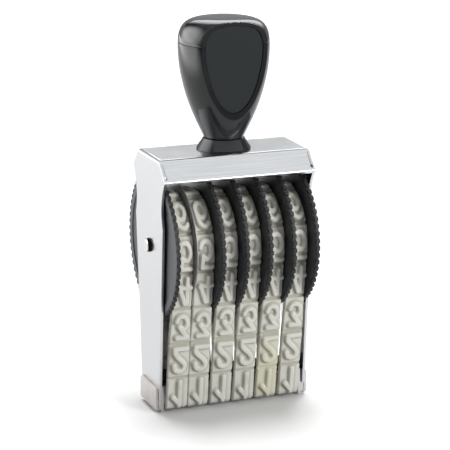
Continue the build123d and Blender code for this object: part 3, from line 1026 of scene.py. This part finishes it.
def plate_cutter(node, side):
    """A plate grown by a gap all round, and pushed out through the flat on its side."""
    low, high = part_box(node)
    centre = (low + high) / 2
    shape = bmesh.new()
    shape.from_mesh(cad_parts[node].data)
    bmesh.ops.remove_doubles(shape, verts=shape.verts, dist=weld)
    for vert in shape.verts:
        vert.co.x *= 1 + plate_gap / high.x
        vert.co.z = centre.z + (vert.co.z - centre.z) * (1 + plate_gap / (high.z - centre.z))
        if (vert.co.y - centre.y) * side > 0:
            vert.co.y += side * cutter_reach
    mesh = bpy.data.meshes.new("cutter")
    shape.to_mesh(mesh)
    shape.free()
    cutter = bpy.data.objects.new("cutter", mesh)
    scene.collection.objects.link(cutter)
    return cutter


def cut_pockets(shape):
    """The shape with both plates' pockets cut into it, as a new bmesh."""
    mesh = bpy.data.meshes.new("uncut")
    shape.to_mesh(mesh)
    shape.free()
    blank = bpy.data.objects.new("uncut", mesh)
    scene.collection.objects.link(blank)
    cutters = [plate_cutter("label_plate_front", -1), plate_cutter("label_plate_rear", 1)]
    for cutter in cutters:
        modifier = blank.modifiers.new("pocket", "BOOLEAN")
        modifier.operation = "DIFFERENCE"
        modifier.solver = "EXACT"
        modifier.object = cutter
    bpy.context.view_layer.update()
    cut_mesh = bpy.data.meshes.new_from_object(
        blank.evaluated_get(bpy.context.evaluated_depsgraph_get())
    )
    result = bmesh.new()
    result.from_mesh(cut_mesh)
    for thing in (blank, *cutters):
        bpy.data.objects.remove(thing)
    return result


# %% [markdown]
# ## Plastics of the handle
# The grip is satin charcoal, the cap the same with a little more polish, and the plates are matt.
# A smooth moulding still has a faint waviness and dull patches where it is handled, and both show
# as soft breaks in its reflections.

# %% Handle plastics
def smooth_plastic(name, gloss, **constants):
    """A charcoal plastic whose roughness starts at a gloss."""
    finish = Finish(name, **constants)
    handled = finish.clouds(9 * mm, 3.0)
    colour = finish.blend(handled.step(0.35, 0.75), paint("#121518"), paint("#1A1E21"))
    finish.give("Base Color", colour)
    finish.give("Roughness", gloss + 0.08 * handled)
    finish.bump(finish.clouds(1.2 * mm, 2.0), 0.003 * mm)
    return finish


grip_plastic = smooth_plastic("grip_plastic", 0.1, IOR=1.5)
cap_plastic = smooth_plastic("cap_plastic", 0.08, IOR=1.62)

plate_plastic = Finish("plate_plastic", IOR=1.33)
fine = plate_plastic.clouds(0.18 * mm, 2.0)
plate_plastic.give("Base Color", plate_plastic.blend(fine, paint("#15191C"), paint("#1F2427")))
plate_plastic.give("Roughness", 0.5 + 0.12 * fine)
plate_plastic.bump(fine, 0.02 * mm)
print("plastics:", [finish.material.name for finish in (grip_plastic, cap_plastic, plate_plastic)])

# %% [markdown]
# Grip and cap follow the same side line, below and above the seam. A small gap and a step at the
# rim of each make the seam a fine dark line. The closed ends of the outlines lie on the axis, so
# each spun shape is a closed one.

# %% Grip
seam_round = 0.05 * mm
neck_chamfer = 0.25 * mm
neck_start = 0.2 * mm
seam_line = [point for point in side_line if point[1] < seam_height - seam_round]
seam_radius = seam_line[-1][0]
body_outline = [(0.0, neck_height), (neck_radius - neck_chamfer, neck_height)]
body_outline += [point for point in seam_line if point[1] > neck_height + neck_start]
body_outline += [(seam_radius - seam_round, seam_height), (0.0, seam_height)]
shape = spun(body_outline)
cut_flats(shape)
grip = add_piece("pear_grip", cut_pockets(shape), grip_plastic, "handle_body")
keep_flats_flat(grip)

# %% Cap
seam_gap = 0.14 * mm
cap_start = seam_height + seam_gap
cap_line = [point for point in side_line if point[1] > cap_start + seam_round]
cap_outline = [(0.0, cap_start), (cap_line[0][0] - seam_round, cap_start)] + cap_line
shape = spun(cap_outline)
cut_flats(shape)
cap = add_piece("domed_cap", cut_pockets(shape), cap_plastic, "handle_cap")
keep_flats_flat(cap)

# %% [markdown]
# The plates are let into the flats. They are left bare, with nothing on them but their grain.

# %% Label plates
plate_edge = 0.15 * mm
for side in ("front", "rear"):
    node = f"label_plate_{side}"
    shape = softened(node, plate_edge)
    plate = add_piece(f"bare_plate_{side}", shape, plate_plastic, node)
    keep_flats_flat(plate)

# %% [markdown]
# The collar stands on the roof and flares down to a thin upright lip. One Bezier curve makes the
# flare, and small steps at the rim and the top stand for its rounded edges.

# %% Collar
collar_low, collar_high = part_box("collar")
collar_edge = 0.15 * mm
collar_top_radius = 7.35 * mm
collar_top_step = 0.2 * mm
lip_height = collar_low.z + 0.7 * mm
flare_in = 0.6 * mm
flare_up = 0.8 * mm
flare_down = 1.2 * mm
collar_line = bezier(
    (collar_high.x, lip_height),
    (collar_high.x - flare_in, lip_height + flare_up),
    (collar_top_radius + flare_in, collar_high.z - flare_down),
    (collar_top_radius, collar_high.z - collar_edge),
    steps=24,
)
collar_outline = [(0.0, collar_low.z), (collar_high.x - collar_edge, collar_low.z)]
collar_outline += [(collar_high.x, collar_low.z + collar_edge)] + collar_line
collar_outline += [(collar_top_radius - collar_top_step, collar_high.z), (0.0, collar_high.z)]
shape = spun(collar_outline, steps=192)
collar = add_piece("flared_collar", shape, grip_plastic, "collar")
keep_flats_flat(collar)
